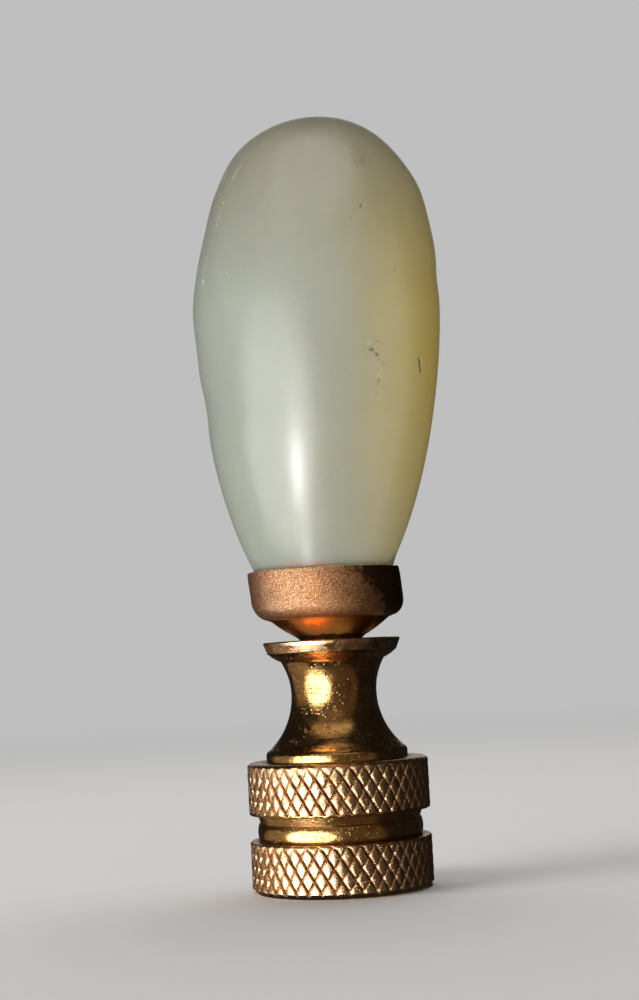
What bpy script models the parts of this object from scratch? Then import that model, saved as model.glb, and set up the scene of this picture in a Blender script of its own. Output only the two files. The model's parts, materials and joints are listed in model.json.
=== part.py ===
"""Lamp shade finial: a polished jade knob seated in a metal cup on a turned brass base
with two knurled bands and a tapped socket underneath."""

import bpy
import bmesh
from math import sin, cos, tan, pi, radians, sqrt, exp, hypot

# Units are metres, Z is up, and the finial stands on its flat underside at z = 0.
# The photographed side faces -Y.

# Base: turned brass, from the underside up
BAND_RADIUS = 0.0079375        # both knurled bands, 5/8 in across
UNDERSIDE_BEVEL = 0.00045      # plain bevel under the lower band
UNDERSIDE_BEVEL_IN = 0.0005    # how far that bevel runs in
EDGE_BREAK = 0.00013           # small broken edges of the bands
LOWER_BAND_HEIGHT = 0.00445
GROOVE_HEIGHT = 0.0023         # polished groove between the bands
GROOVE_DEPTH = 0.00084         # from the flats of the knurl
GROOVE_FLARE = 0.00012         # how much wider the groove's floor is at its top
BEAD_HEIGHT = 0.00132          # rounded bead at the foot of the groove
BEAD_SWELL = 0.0001            # how far the bead stands out of the groove
BEAD_FLAT = 0.00018            # step between the bead and the lower band
UPPER_BAND_HEIGHT = 0.00445
TOP_BEVEL = 0.00028            # plain bevel over the upper band
LIP_INSET = 0.00174            # how far the lip stands in from the band
LIP_HEIGHT = 0.00075           # ring that the neck springs from
NECK_WAIST_RADIUS = 0.00375
NECK_LOWER_RISE = 0.00492      # height of the cove under the waist
NECK_LOWER_SWEEP = radians(51.8)   # how much of a circle that cove turns
NECK_UPPER_RISE = 0.0029       # height of the cove over the waist
NECK_UPPER_SWEEP = radians(30.8)
NECK_UPPER_FLARE = 0.0008      # how far it runs out from the waist
FLANGE_RADIUS = 0.00605        # round plate that the cup sits on
FLANGE_CONE_HEIGHT = 0.0007    # sloped underside of the plate
FLANGE_RIM_HEIGHT = 0.00105
FLANGE_RIM_TAPER = 0.00035     # the rim is narrower at its foot
FLANGE_EDGE = 0.00015          # rounding of the rim's corners

# Knurl: two crossing sets of grooves with flat diamonds between them
KNURLS_AROUND = 42
KNURL_DEPTH = 0.00019
KNURL_FLAT = 0.68              # share of each diamond left flat
KNURL_ROW = 0.000975           # height of half a diamond
LOWER_KNURL_TURN = radians(-1.07)
UPPER_KNURL_TURN = radians(2.6)

# Socket: blind, tapped 1/4-27, drawn plain at its pitch diameter
SOCKET_RADIUS = 0.00292
SOCKET_DEPTH = 0.0095
SOCKET_MOUTH_BEVEL = 0.00035
DRILL_POINT = radians(59)      # half angle of the drill's point

# Joints between the three pieces
CUP_GAP = 0.0003               # cup foot over the flange
STONE_CLEARANCE = 0.0003       # stone inside the cup

# Cup: thin metal, polished dish below, matte side above
CUP_RADIUS = 0.006755
CUP_FOOT_RADIUS = 0.0030
CUP_DISH_RISE = 0.00161
CUP_DISH_BULGE = 0.00008
CUP_KNUCKLE_REACH = 0.0014     # rounding between the dish and the side
CUP_KNUCKLE_RISE = 0.00164
CUP_SIDE_RISE = 0.0026
CUP_FLARE = 0.00004            # the rim is this much wider than the side's foot
CUP_WALL = 0.00045
CUP_SHIFT = -0.00042           # the cup leans off the base's axis at its rim

# Stone: an egg, blunt end up, leaning a little in its cup
STONE_RADIUS = 0.01095
STONE_WAIST_RISE = 0.02310     # widest place over the cup's rim
STONE_CROWN_RISE = 0.01747     # apex over the widest place
CROWN_POWER = 2.26             # fullness of the outline over the widest place
FLANK_POWER = 1.85             # and under it
STONE_LEAN = radians(1.70)

# Hand-polished unevenness of the stone: side it faces, height over the widest place,
# swell or hollow and its spread, all as shares of STONE_RADIUS
STONE_WAVES = [
    (-90, 1.35, 0.030, 0.20),
    (-90, 0.68, -0.018, 0.25),
    (-90, 0.04, 0.020, 0.22),
    (-90, -0.76, -0.023, 0.22),
    (90, 0.98, 0.017, 0.19),
    (90, 0.23, -0.013, 0.14),
]

PLAIN_SEGMENTS = 42
CUP_SEGMENTS = 36
STONE_SEGMENTS = 36


def clear_scene():
    for item in list(bpy.data.objects):
        bpy.data.objects.remove(item, do_unlink=True)


def principled(name, colour, roughness, metallic):
    material = bpy.data.materials.new(name)
    material.use_nodes = True
    shader = material.node_tree.nodes["Principled BSDF"]
    shader.inputs["Base Color"].default_value = (*colour, 1.0)
    shader.inputs["Roughness"].default_value = roughness
    shader.inputs["Metallic"].default_value = metallic
    material.diffuse_color = (*colour, 1.0)
    return material


def on_circle(radius, angle, z, shift=0.0):
    """A point seen from the front: angle 0 faces -Y and a positive angle turns to +X."""
    return (shift + radius * sin(angle), -radius * cos(angle), z)


def arc(start, end, bulge, steps):
    """Points from start to end along a bow that swells by bulge to its right."""
    (r0, z0), (r1, z1) = start, end
    length = hypot(r1 - r0, z1 - z0)
    nr, nz = (z1 - z0) / length, -(r1 - r0) / length
    points = []
    for k in range(steps + 1):
        t = k / steps
        swell = 4 * bulge * t * (1 - t)
        points.append((r0 + (r1 - r0) * t + nr * swell, z0 + (z1 - z0) * t + nz * swell))
    return points


def inset(points, distance):
    """The same outline moved inward, to the left of its direction of travel."""
    moved = []
    for k, (r, z) in enumerate(points):
        before = points[max(k - 1, 0)]
        after = points[min(k + 1, len(points) - 1)]
        sides = []
        for (ra, za), (rb, zb) in ((before, (r, z)), ((r, z), after)):
            length = hypot(rb - ra, zb - za)
            if length > 0:
                sides.append((-(zb - za) / length, (rb - ra) / length))
        nr = sum(s[0] for s in sides) / len(sides)
        nz = sum(s[1] for s in sides) / len(sides)
        square = nr * nr + nz * nz
        moved.append((max(r + nr * distance / square, 0.0), z + nz * distance / square))
    return moved


class Turned:
    """Builds one closed skin from rings of points around the Z axis."""

    def __init__(self, segments):
        self.segments = segments
        self.bm = bmesh.new()
        self.last = None

    def ring(self, radius, z, shift=0.0, uneven=None):
        """Adds a ring of (angle, vertex) and skins it to the one before."""
        if radius < 1e-9:
            tip = self.bm.verts.new((shift, 0, z))
            ring = [(0.0, tip)]
        else:
            ring = []
            for k in range(self.segments):
                angle = 2 * pi * k / self.segments
                extra = uneven(angle, z) if uneven else 0.0
                point = on_circle(radius + extra, angle, z, shift)
                ring.append((angle, self.bm.verts.new(point)))
        self.join(ring)

    def join(self, ring):
        if self.last is not None:
            self.skin(self.last, ring)
        self.last = ring

    def skin(self, a, b):
        if len(a) == 1 or len(b) == 1:
            tip, loop = (a[0][1], b) if len(a) == 1 else (b[0][1], a)
            for k in range(len(loop)):
                self.bm.faces.new((tip, loop[k][1], loop[(k + 1) % len(loop)][1]))
            return
        if len(a) == len(b) and all(abs(p[0] - q[0]) < 1e-9 for p, q in zip(a, b)):
            for k in range(len(a)):
                n = (k + 1) % len(a)
                self.bm.faces.new((a[k][1], a[n][1], b[n][1], b[k][1]))
            return
        # Rings with different angles are zipped together with triangles.
        first = min(range(len(b)), key=lambda k: abs(wrap(b[k][0] - a[0][0])))
        b = b[first:] + b[:first]
        start = a[0][0]
        turn_a = [wrap(p[0] - start) % (2 * pi) for p in a] + [2 * pi]
        offset = wrap(b[0][0] - start)
        turn_b = [offset + (p[0] - b[0][0]) % (2 * pi) for p in b] + [offset + 2 * pi]
        i = j = 0
        while i < len(a) or j < len(b):
            va, vb = a[i % len(a)][1], b[j % len(b)][1]
            if j >= len(b) or (i < len(a) and turn_a[i + 1] <= turn_b[j + 1]):
                self.bm.faces.new((va, a[(i + 1) % len(a)][1], vb))
                i += 1
            else:
                self.bm.faces.new((va, b[(j + 1) % len(b)][1], vb))
                j += 1

    def knurl(self, radius, z0, z1, turn):
        """Adds a knurled band: flat diamonds with a groove all round each one."""
        around = 2 * KNURLS_AROUND
        rows = max(2, round((z1 - z0) / KNURL_ROW))
        step = 2 * pi / around
        row = (z1 - z0) / rows
        half = KNURL_FLAT

        def vert(i, j, r):
            return self.bm.verts.new(on_circle(r, turn + i * step, z0 + j * row))

        crossing, corner = {}, {}
        for j in range(rows + 1):
            for i in range(around):
                if (i + j) % 2:
                    crossing[i, j] = vert(i, j, radius - KNURL_DEPTH)
                    continue
                corner[i, j, "w"] = vert(i - half, j, radius)
                corner[i, j, "e"] = vert(i + half, j, radius)
                if j < rows:
                    corner[i, j, "n"] = vert(i, j + half, radius)
                if j > 0:
                    corner[i, j, "s"] = vert(i, j - half, radius)
        for (i, j, side), west in list(corner.items()):
            if side != "w":
                continue
            east = corner[i, j, "e"]
            north, south = corner.get((i, j, "n")), corner.get((i, j, "s"))
            if north and south:
                self.bm.faces.new((south, north, west))
                self.bm.faces.new((south, east, north))
            else:
                self.bm.faces.new((west, east, north or south))
            gw, ge = crossing[(i - 1) % around, j], crossing[(i + 1) % around, j]
            if north:
                gn = crossing[i, j + 1]
                self.bm.faces.new((east, ge, gn, north))
                self.bm.faces.new((north, gn, gw, west))
            if south:
                gs = crossing[i, j - 1]
                self.bm.faces.new((south, gs, ge, east))
                self.bm.faces.new((west, gw, gs, south))

        def border(j):
            ring = []
            for i in range(around):
                if (i + j) % 2:
                    ring.append((turn + i * step, crossing[i, j]))
                else:
                    ring.append((turn + (i - half) * step, corner[i, j, "w"]))
                    ring.append((turn + (i + half) * step, corner[i, j, "e"]))
            ring.sort(key=lambda p: p[0])
            return ring

        self.join(border(0))
        self.last = border(rows)

    def finish(self, name, material):
        bmesh.ops.recalc_face_normals(self.bm, faces=self.bm.faces)
        mesh = bpy.data.meshes.new(name)
        self.bm.to_mesh(mesh)
        self.bm.free()
        mesh.shade_smooth()
        mesh.set_sharp_from_angle(angle=radians(28))
        mesh.materials.append(material)
        item = bpy.data.objects.new(name, mesh)
        bpy.context.collection.objects.link(item)
        return item


def wrap(angle):
    return (angle + pi) % (2 * pi) - pi


def cove(waist, end, sweep, steps):
    """Points of a hollow arc from the waist, where it is upright, to its end."""
    (r0, z0), (r1, z1) = waist, end
    points = []
    for k in range(steps + 1):
        t = k / steps
        run = (1 - sqrt(1 - (t * sin(sweep)) ** 2)) / (1 - cos(sweep))
        points.append((r0 + (r1 - r0) * run, z0 + (z1 - z0) * t))
    return points


def make_base(material):
    lathe = Turned(PLAIN_SEGMENTS)
    # blind socket, from its drill point down to the mouth
    lathe.ring(0, SOCKET_DEPTH + SOCKET_RADIUS / tan(DRILL_POINT))
    lathe.ring(SOCKET_RADIUS, SOCKET_DEPTH)
    lathe.ring(SOCKET_RADIUS, SOCKET_MOUTH_BEVEL)
    lathe.ring(SOCKET_RADIUS + SOCKET_MOUTH_BEVEL, 0)
    lathe.ring(BAND_RADIUS - UNDERSIDE_BEVEL_IN, 0)

    # lower band
    top = LOWER_BAND_HEIGHT
    lathe.knurl(BAND_RADIUS, UNDERSIDE_BEVEL, top - EDGE_BREAK, LOWER_KNURL_TURN)
    lathe.ring(BAND_RADIUS - KNURL_DEPTH - EDGE_BREAK, top)

    # groove with its bead
    groove = BAND_RADIUS - GROOVE_DEPTH
    bead_foot = top + BEAD_FLAT
    lathe.ring(groove + BEAD_SWELL / 2, top)
    bead = arc((groove + BEAD_SWELL / 2, bead_foot),
               (groove, bead_foot + BEAD_HEIGHT), BEAD_SWELL, 4)
    for r, z in bead:
        lathe.ring(r, z)
    foot = top + GROOVE_HEIGHT
    lathe.ring(groove + GROOVE_FLARE, foot)
    lathe.ring(BAND_RADIUS - KNURL_DEPTH - EDGE_BREAK, foot)

    # upper band
    top = foot + UPPER_BAND_HEIGHT
    lathe.knurl(BAND_RADIUS, foot + EDGE_BREAK, top - TOP_BEVEL, UPPER_KNURL_TURN)
    lathe.ring(BAND_RADIUS - TOP_BEVEL, top)

    # lip and neck
    lip = BAND_RADIUS - LIP_INSET
    lathe.ring(lip, top)
    lip_top = top + LIP_HEIGHT
    lathe.ring(lip, lip_top)
    neck_foot = (lip - EDGE_BREAK, lip_top + EDGE_BREAK)
    waist = (NECK_WAIST_RADIUS, neck_foot[1] + NECK_LOWER_RISE)
    shoulder = (NECK_WAIST_RADIUS + NECK_UPPER_FLARE, waist[1] + NECK_UPPER_RISE)
    for r, z in reversed(cove(waist, neck_foot, NECK_LOWER_SWEEP, 6)):
        lathe.ring(r, z)
    for r, z in cove(waist, shoulder, NECK_UPPER_SWEEP, 4)[1:]:
        lathe.ring(r, z)

    # flange
    rim_foot = shoulder[1] + FLANGE_CONE_HEIGHT
    rim_top = rim_foot + FLANGE_RIM_HEIGHT
    lathe.ring(FLANGE_RADIUS - FLANGE_RIM_TAPER - FLANGE_EDGE, rim_foot - FLANGE_EDGE / 2)
    lathe.ring(FLANGE_RADIUS - FLANGE_RIM_TAPER, rim_foot + FLANGE_EDGE / 2)
    lathe.ring(FLANGE_RADIUS, rim_top - FLANGE_EDGE)
    lathe.ring(FLANGE_RADIUS - FLANGE_EDGE, rim_top)
    lathe.ring(0, rim_top)
    lathe.finish("finial_base", material)
    return rim_top


def cup_outline(foot):
    """Outer line of the cup from the edge of its foot to the rim."""
    dish_radius = CUP_RADIUS - CUP_FLARE - CUP_KNUCKLE_REACH
    dish = arc((CUP_FOOT_RADIUS, foot), (dish_radius, foot + CUP_DISH_RISE), CUP_DISH_BULGE, 3)
    side_foot = foot + CUP_DISH_RISE + CUP_KNUCKLE_RISE
    knuckle = []
    for k in range(1, 6):
        t = pi / 2 * k / 5
        knuckle.append((dish_radius + CUP_KNUCKLE_REACH * sin(t),
                        side_foot - CUP_KNUCKLE_RISE * cos(t)))
    return dish + knuckle + [(CUP_RADIUS, side_foot + CUP_SIDE_RISE)]


def cup_drift(foot, z):
    """Sideways place of the cup's centre at a height: none at its foot, all at its rim."""
    start = foot + CUP_DISH_RISE
    rise = CUP_KNUCKLE_RISE + CUP_SIDE_RISE
    return CUP_SHIFT * min(max((z - start) / rise, 0.0), 1.0)


def make_cup(material, foot):
    outer = cup_outline(foot)
    inner = inset([(0.0, foot)] + outer, CUP_WALL)
    rim = outer[-1][1]
    inner[-1] = (inner[-1][0], rim)
    lathe = Turned(CUP_SEGMENTS)
    lathe.ring(0, foot)
    for r, z in outer + inner[:0:-1]:
        lathe.ring(r, z, cup_drift(foot, z))
    lathe.ring(0, inner[0][1])
    lathe.finish("stone_cup", material)
    return rim


def stone_wave(angle, z, widest):
    """Swells and hollows that hand polishing left on the stone."""
    total = 0.0
    for side, height, swell, spread in STONE_WAVES:
        near = exp(2.0 * (cos(angle - radians(side)) - 1.0))
        off = ((z - widest) / STONE_RADIUS - height) / spread
        total += STONE_RADIUS * swell * near * exp(-off * off)
    return total


def make_stone(material, foot, rim):
    seat = inset([(0.0, foot)] + cup_outline(foot), CUP_WALL + STONE_CLEARANCE)
    seat_radius = seat[-1][0]
    widest = rim + STONE_WAIST_RISE
    apex = widest + STONE_CROWN_RISE
    # the flank's curve is stretched to leave the cup exactly at the seat's radius
    share = (1 - (seat_radius / STONE_RADIUS) ** FLANK_POWER) ** (1 / FLANK_POWER)
    flank_drop = STONE_WAIST_RISE / share

    def lean(z):
        return cup_drift(foot, z) + tan(STONE_LEAN) * max(z - rim, 0.0)

    def uneven(angle, z):
        return stone_wave(angle, z, widest)

    lathe = Turned(STONE_SEGMENTS)
    lathe.ring(0, seat[0][1])
    for r, z in seat[1:-1]:
        lathe.ring(r, z, lean(z))
    lathe.ring(seat_radius, rim, lean(rim))
    steps = 9
    for k in range(1, steps + 1):
        drop = STONE_WAIST_RISE * (1 - k / steps)
        r = STONE_RADIUS * (1 - (drop / flank_drop) ** FLANK_POWER) ** (1 / FLANK_POWER)
        z = widest - drop
        lathe.ring(r, z, lean(z), uneven)
    steps = 10
    for k in range(1, steps):
        rise = sin(pi / 2 * k / steps)
        r = STONE_RADIUS * (1 - rise ** CROWN_POWER) ** (1 / CROWN_POWER)
        z = widest + STONE_CROWN_RISE * rise
        lathe.ring(r, z, lean(z), uneven)
    lathe.ring(0, apex, lean(apex))
    lathe.finish("jade_knob", material)


def main():
    clear_scene()
    brass = principled("turned_brass", (0.55, 0.36, 0.13), 0.3, 1.0)
    bronze = principled("matte_cup_metal", (0.50, 0.27, 0.14), 0.5, 1.0)
    jade = principled("pale_jade", (0.42, 0.44, 0.34), 0.25, 0.0)
    flange_top = make_base(brass)
    cup_foot = flange_top + CUP_GAP
    rim = make_cup(bronze, cup_foot)
    make_stone(jade, cup_foot, rim)


main()
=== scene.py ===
import json
import random
import bpy
from math import sin, cos, tan, pi, radians, sqrt, exp, hypot
from mathutils import Matrix, Vector, noise

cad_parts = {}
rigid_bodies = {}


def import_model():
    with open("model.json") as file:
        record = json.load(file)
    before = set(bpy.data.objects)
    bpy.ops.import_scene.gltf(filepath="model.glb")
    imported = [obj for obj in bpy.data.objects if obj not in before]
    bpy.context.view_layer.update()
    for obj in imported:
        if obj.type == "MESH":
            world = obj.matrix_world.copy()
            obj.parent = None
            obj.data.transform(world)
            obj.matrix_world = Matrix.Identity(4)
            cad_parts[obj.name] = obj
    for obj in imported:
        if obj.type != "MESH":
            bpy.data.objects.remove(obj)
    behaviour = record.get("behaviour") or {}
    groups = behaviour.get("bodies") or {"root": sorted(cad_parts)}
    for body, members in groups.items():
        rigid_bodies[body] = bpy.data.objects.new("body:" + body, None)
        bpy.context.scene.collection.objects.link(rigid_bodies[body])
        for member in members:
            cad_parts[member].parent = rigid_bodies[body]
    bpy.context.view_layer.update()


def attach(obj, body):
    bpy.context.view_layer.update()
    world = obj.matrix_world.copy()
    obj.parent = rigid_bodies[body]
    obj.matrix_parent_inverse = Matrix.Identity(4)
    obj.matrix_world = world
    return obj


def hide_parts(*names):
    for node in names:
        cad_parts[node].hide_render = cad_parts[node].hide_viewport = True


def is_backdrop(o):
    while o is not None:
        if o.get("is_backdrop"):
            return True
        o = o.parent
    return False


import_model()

# Units are metres. The photographed side faces -Y; side angles are seen from the front,
# 0 towards the camera and positive to the right.

MM = 0.001

# Base, from the underside up (the CAD's own values)
BAND_RADIUS = 7.9375 * MM
UNDERSIDE_BEVEL = 0.45 * MM
UNDERSIDE_BEVEL_IN = 0.5 * MM
EDGE_BREAK = 0.13 * MM
LOWER_BAND_TOP = 4.45 * MM
GROOVE_TOP = 6.75 * MM
UPPER_BAND_TOP = 11.2 * MM
TOP_BEVEL = 0.28 * MM
GROOVE_RADIUS = BAND_RADIUS - 0.84 * MM
GROOVE_FLARE = 0.12 * MM
BEAD_HEIGHT = 1.32 * MM
BEAD_SWELL = 0.1 * MM
BEAD_FLAT = 0.18 * MM
LIP_RADIUS = BAND_RADIUS - 1.74 * MM
LIP_TOP = UPPER_BAND_TOP + 0.75 * MM
WAIST_RADIUS = 3.75 * MM
NECK_LOWER_RISE = 4.92 * MM
NECK_LOWER_SWEEP = radians(51.8)
NECK_UPPER_RISE = 2.9 * MM
NECK_UPPER_SWEEP = radians(30.8)
NECK_UPPER_FLARE = 0.8 * MM
FLANGE_RADIUS = 6.05 * MM
FLANGE_CONE_HEIGHT = 0.7 * MM
FLANGE_RIM_HEIGHT = 1.05 * MM
FLANGE_RIM_TAPER = 0.35 * MM
FLANGE_EDGE = 0.15 * MM

# Knurl
KNURLS_AROUND = 42
KNURL_ROWS = 4
KNURL_FINENESS = 10             # mesh steps per half diamond
KNURL_DEEP = 0.25 * MM          # grooves that run down to the right
KNURL_SHALLOW = 0.08 * MM       # and down to the left
KNURL_FLANK = 0.30              # width of a groove's rounded side, as a share of the spacing
KNURL_WALL = 0.09               # and of its steep side
KNURL_DOME = 0.05 * MM
KNURL_ROUGHNESS = 0.006 * MM
PLAIN_STRIP = 0.26 * MM         # ungrooved strip under the upper band
LOWER_KNURL_TURN = radians(-1.07)
UPPER_KNURL_TURN = radians(2.6)

# Socket, 1/4-27 thread
THREAD_PITCH = 25.4 / 27 * MM
THREAD_ROOT = 3.175 * MM
THREAD_CREST = 2.67 * MM
THREAD_FLAT = 0.12              # flat of a crest, as a share of half the pitch
THREAD_FLANK = 0.72             # and the slope beside it
THREAD_RUNOUT = 1.0 * MM        # fades out over this height at the socket's end
SOCKET_DEPTH = 9.5 * MM
SOCKET_RADIUS = 2.92 * MM
SOCKET_MOUTH_BEVEL = 0.35 * MM
DRILL_POINT = radians(59)

# Cup
CUP_GAP = 0.3 * MM
STONE_CLEARANCE = 0.3 * MM
CUP_RADIUS = 6.755 * MM
CUP_FOOT_RADIUS = 3.0 * MM
CUP_DISH_RISE = 1.61 * MM
CUP_DISH_BULGE = 0.08 * MM
CUP_KNUCKLE_REACH = 1.4 * MM
CUP_KNUCKLE_RISE = 1.64 * MM
CUP_SIDE_RISE = 2.6 * MM
CUP_FLARE = 0.04 * MM
CUP_WALL = 0.45 * MM
CUP_SHIFT = -0.42 * MM          # how far off the axis its rim stands
CUP_RIDGE = [                   # small ridge at the knee: outward and down from its edge
    (-0.03 * MM, 0.02 * MM), (0.0, 0.055 * MM), (0.05 * MM, 0.075 * MM), (0.10 * MM, 0.055 * MM)]

# Stone
STONE_RADIUS = 10.95 * MM
STONE_WAIST_RISE = 23.10 * MM
STONE_CROWN_RISE = 17.47 * MM
CROWN_POWER = 2.26
FLANK_POWER = 1.85
STONE_LEAN = radians(1.70)
DENT_MARGIN = 0.12 * MM         # how far the dent of a pit or chip reaches past its mark
# Waves of its outline: side in degrees, then height from the widest ring, swell and spread
# as shares of its radius
STONE_WAVES = [
    (-90, 1.35, 0.030, 0.20),
    (-90, 0.68, -0.018, 0.25),
    (-90, 0.04, 0.020, 0.22),
    (-90, -0.76, -0.023, 0.22),
    (90, 0.98, 0.017, 0.19),
    (90, 0.23, -0.013, 0.14),
]

# Mesh fineness
PLAIN_COLUMNS = 168
THREAD_COLUMNS = 96
THREAD_ROWS = 88
CUP_COLUMNS = 336
CUP_ROW_HEIGHT = 0.15 * MM
STONE_COLUMNS = 300
STONE_FLANK_ROWS = 90
STONE_CROWN_ROWS = 84

# Stone's colours, from the photograph's left to its right and at the top
JADE_LEFT = (0.46, 0.50, 0.43)
JADE_MIDDLE = (0.485, 0.48, 0.37)
# Yellow right: the stone's own tone, with painted warm light that shines through the stone on its
# shaded side.
JADE_RIGHT_TONE_AND_LIGHT = (0.57, 0.44, 0.12)
# Darker top: a warmer tone, with painted shade where less light reaches.
JADE_TOP_TONE_AND_SHADE = (0.345, 0.32, 0.225)
MARK_TINTS = {
    "pit": (0.05, 0.035, 0.02),
    "crack": (0.15, 0.11, 0.06),
    "stain": (0.20, 0.13, 0.05),
    # Chips: whitish chipped stone, painted full white as glints.
    "chip_and_glint": (1.0, 1.0, 0.96),
    "copper": (0.85, 0.33, 0.16),
}

# Marks on the stone: kind, strength, half width in mm, and the points of the line they
# follow as (side in degrees, height in mm). A single point is a round spot.
STONE_MARKS = [
    ("pit", 1.0, 0.22, [(24.8, 45.75)]),
    ("pit", 1.0, 0.17, [(27.5, 45.3)]),
    ("pit", 0.5, 0.07, [(26.2, 45.55), (27.2, 45.4)]),
    ("crack", 0.35, 0.06, [(20.8, 46.7), (20.8, 45.9), (24.0, 45.8)]),
    ("crack", 0.5, 0.05, [(25.2, 46.0), (27.2, 46.4), (30.8, 46.2)]),
    ("crack", 0.4, 0.05, [(26.0, 45.9), (28.6, 45.8)]),
    ("chip_and_glint", 0.45, 0.06, [(25.6, 45.75), (26.5, 46.0)]),
    ("chip_and_glint", 0.3, 0.06, [(23.2, 46.1), (24.2, 46.4)]),
    ("crack", 0.35, 0.05, [(28.2, 45.1), (31.0, 44.55), (34.8, 44.4)]),
    ("pit", 1.0, 0.13, [(54.2, 45.3), (56.6, 44.3)]),
    ("pit", 1.0, 0.20, [(56.6, 44.3)]),
    ("pit", 0.6, 0.07, [(53.8, 45.0), (55.0, 44.4)]),
    ("chip_and_glint", 0.4, 0.05, [(55.8, 45.4), (57.4, 44.6)]),
    ("crack", 0.3, 0.05, [(53.0, 43.8), (50.5, 43.3), (48.0, 43.0)]),
    ("pit", 0.55, 0.06, [(48.4, 42.95)]),
    ("pit", 0.5, 0.06, [(13.0, 44.0)]),
    ("crack", 0.7, 0.08, [(28.3, 43.5), (29.4, 43.3), (28.6, 42.8)]),
    ("chip_and_glint", 0.3, 0.06, [(28.9, 43.6), (30.2, 43.3)]),
    ("pit", 0.35, 0.06, [(26.0, 46.85)]),
    ("crack", 0.3, 0.06, [(26.8, 41.9), (28.8, 42.2)]),
    ("crack", 0.2, 0.06, [(32.0, 42.5), (35.5, 42.6)]),
    ("stain", 0.26, 1.05, [(26.5, 62.6)]),
    ("stain", 0.28, 0.10, [(22.5, 63.6), (26.5, 64.0)]),
    ("stain", 0.28, 0.10, [(31.5, 63.3), (33.0, 62.7)]),
    ("stain", 0.30, 0.10, [(30.0, 62.9), (28.0, 62.2), (27.0, 62.9)]),
    ("stain", 0.24, 0.10, [(22.5, 61.9), (25.5, 61.4)]),
    ("pit", 0.75, 0.09, [(22.6, 58.3), (22.0, 58.0)]),
    ("chip_and_glint", 0.45, 0.08, [(24.5, 58.2)]),
    ("crack", 0.3, 0.05, [(16.5, 57.2), (16.3, 56.3)]),
    ("crack", 0.6, 0.07, [(36.4, 53.3), (38.0, 53.0), (37.2, 52.5)]),
    ("pit", 0.6, 0.07, [(-41.5, 52.6)]),
    # White chips on the upper left: painted glints on chipped stone.
    ("chip_and_glint", 0.6, 0.09, [(-49.5, 63.2), (-53.5, 62.0)]),
    ("chip_and_glint", 0.7, 0.10, [(-66.0, 63.5), (-69.0, 62.3)]),
    ("chip_and_glint", 0.9, 0.12, [(-64.3, 61.1)]),
    ("chip_and_glint", 0.7, 0.11, [(-56.0, 60.0)]),
    ("chip_and_glint", 0.45, 0.08, [(-56.0, 59.7), (-59.0, 57.9)]),
    ("chip_and_glint", 0.6, 0.10, [(-60.5, 56.8)]),
    ("chip_and_glint", 1.0, 0.20, [(-66.5, 53.5), (-65.0, 53.1)]),
    ("chip_and_glint", 0.4, 0.09, [(-62.5, 55.6), (-65.5, 54.1)]),
    ("copper", 1.0, 0.10, [(-26.5, 28.38), (-20.0, 28.28)]),
    ("copper", 0.8, 0.06, [(-41.0, 28.4), (-27.0, 28.37)]),
    ("copper", 0.8, 0.06, [(-19.0, 28.25), (-8.0, 28.2), (2.0, 28.12), (9.5, 28.15)]),
    ("copper", 0.8, 0.08, [(-6.0, 28.25), (1.0, 28.2)]),
    ("crack", 0.35, 0.07, [(24.0, 28.15), (33.0, 28.1)]),
    # guesses, on the sides that the photograph doesn't show
    ("pit", 0.8, 0.13, [(150.0, 50.0)]),
    ("crack", 0.5, 0.06, [(150.0, 50.0), (156.0, 48.9), (158.0, 47.6)]),
    ("pit", 0.6, 0.09, [(-128.0, 41.0)]),
    ("crack", 0.4, 0.06, [(-128.0, 41.0), (-122.0, 41.9)]),
    ("chip_and_glint", 0.6, 0.10, [(112.0, 55.5)]),
    ("chip_and_glint", 0.5, 0.08, [(-160.0, 60.0), (-163.0, 59.2)]),
    ("stain", 0.2, 0.7, [(-170.0, 45.0)]),
    ("copper", 0.6, 0.06, [(140.0, 28.3), (158.0, 28.25)]),
]

# Stage
FLOOR_COLOUR = (0.62, 0.61, 0.60)
BACKDROP = (0.52, 0.52, 0.52)
SURROUNDINGS = (0.014, 0.014, 0.015)
FLOOR_RADIUS = 6.0
FLOOR_FADE = (0.05, 0.45)       # from the floor's colour to the backdrop's

# Camera
CAMERA_PLACE = (-0.41 * MM, -162.02 * MM, 20.17 * MM)
CAMERA_PITCH = radians(4.9)
CAMERA_ROLL = radians(2.9)
CAMERA_LENS = 65.88

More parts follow.
